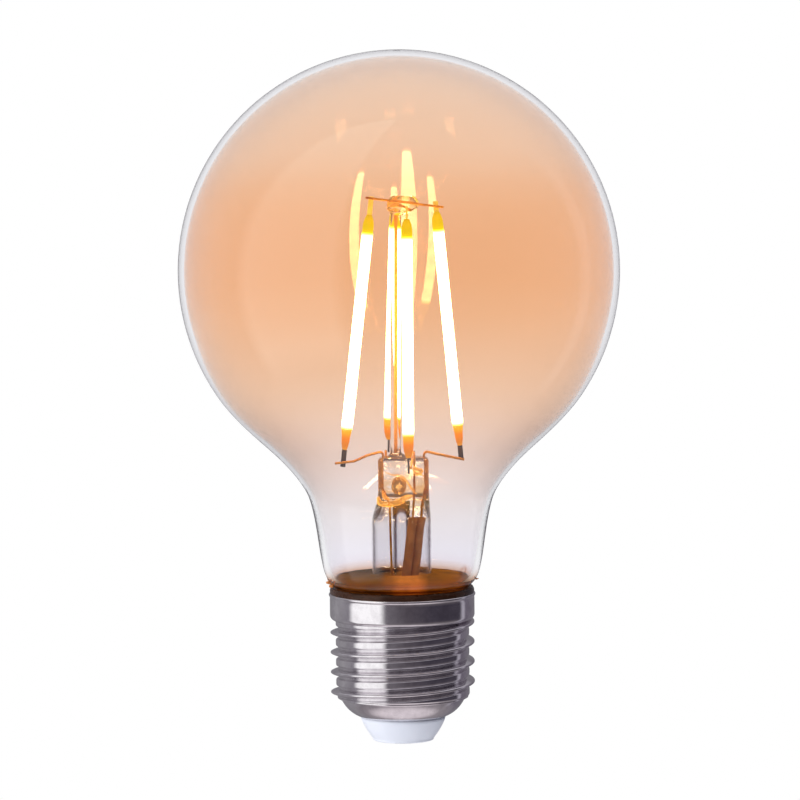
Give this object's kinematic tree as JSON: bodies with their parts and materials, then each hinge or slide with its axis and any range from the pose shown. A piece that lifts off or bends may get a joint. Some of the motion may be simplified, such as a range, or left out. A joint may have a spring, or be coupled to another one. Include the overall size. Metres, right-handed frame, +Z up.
{
  "type": "vintage led bulb",
  "caption": "Amber-tinted glass globe bulb with long straight glowing strips round a glass stem, on a nickel screw cap with a white insulator.",
  "frame": {"origin": "tip of the centre contact, on the bulb's axis: the middle of the bounding box's bottom", "axes": "+Z up the bulb's axis from cap to crown, front at -Y, the brown lead sleeves on the +X side"},
  "size_m": [0.08, 0.08, 0.1259],
  "materials": {
    "globe_glass": "clear glass, amber tint on the inside",
    "stem_glass": "clear",
    "strip_coat": "glowing yellow coat",
    "tab_metal": "dull, heat-darkened",
    "wire_metal": "bare, golden-brown",
    "sleeve": "matt brown",
    "cement": "glossy hard resin",
    "cap_metal": "satin nickel plate",
    "insulator": "smooth white",
    "contact_metal": "satin",
    "board": "lacquered",
    "chip_black": "moulded",
    "can_metal": "satin",
    "fuse_body": "lacquered",
    "copper": "tinned copper",
    "solder": "bright"
  },
  "bodies": {
    "root": {"glass_envelope": "globe_glass", "glass_stem": "stem_glass", "exhaust_tube": "stem_glass", "support_rod": "stem_glass", "top_wire_side": "wire_metal", "top_wire_front": "wire_metal", "lead_wire_left": "wire_metal", "lead_wire_front": "wire_metal", "lead_wire_right": "wire_metal", "back_jumper_wire": "wire_metal", "lead_sleeve_front": "sleeve", "lead_sleeve_right": "sleeve", "basing_cement": "cement", "screw_shell": "cap_metal", "cap_insulator": "insulator", "centre_contact": "contact_metal", "driver_board": "board", "bridge_rectifier": "chip_black", "driver_ic": "chip_black", "smoothing_capacitor": "can_metal", "chip_resistors": "chip_black", "fuse_resistor": "fuse_body", "live_wire": "copper", "neutral_wire": "copper", "solder_joints": "solder", "filament_right": "strip_coat", "filament_tabs_right": "tab_metal", "filament_back": "strip_coat", "filament_tabs_back": "tab_metal", "filament_left": "strip_coat", "filament_tabs_left": "tab_metal", "filament_front": "strip_coat", "filament_tabs_front": "tab_metal"}
  },
  "joints": []
}
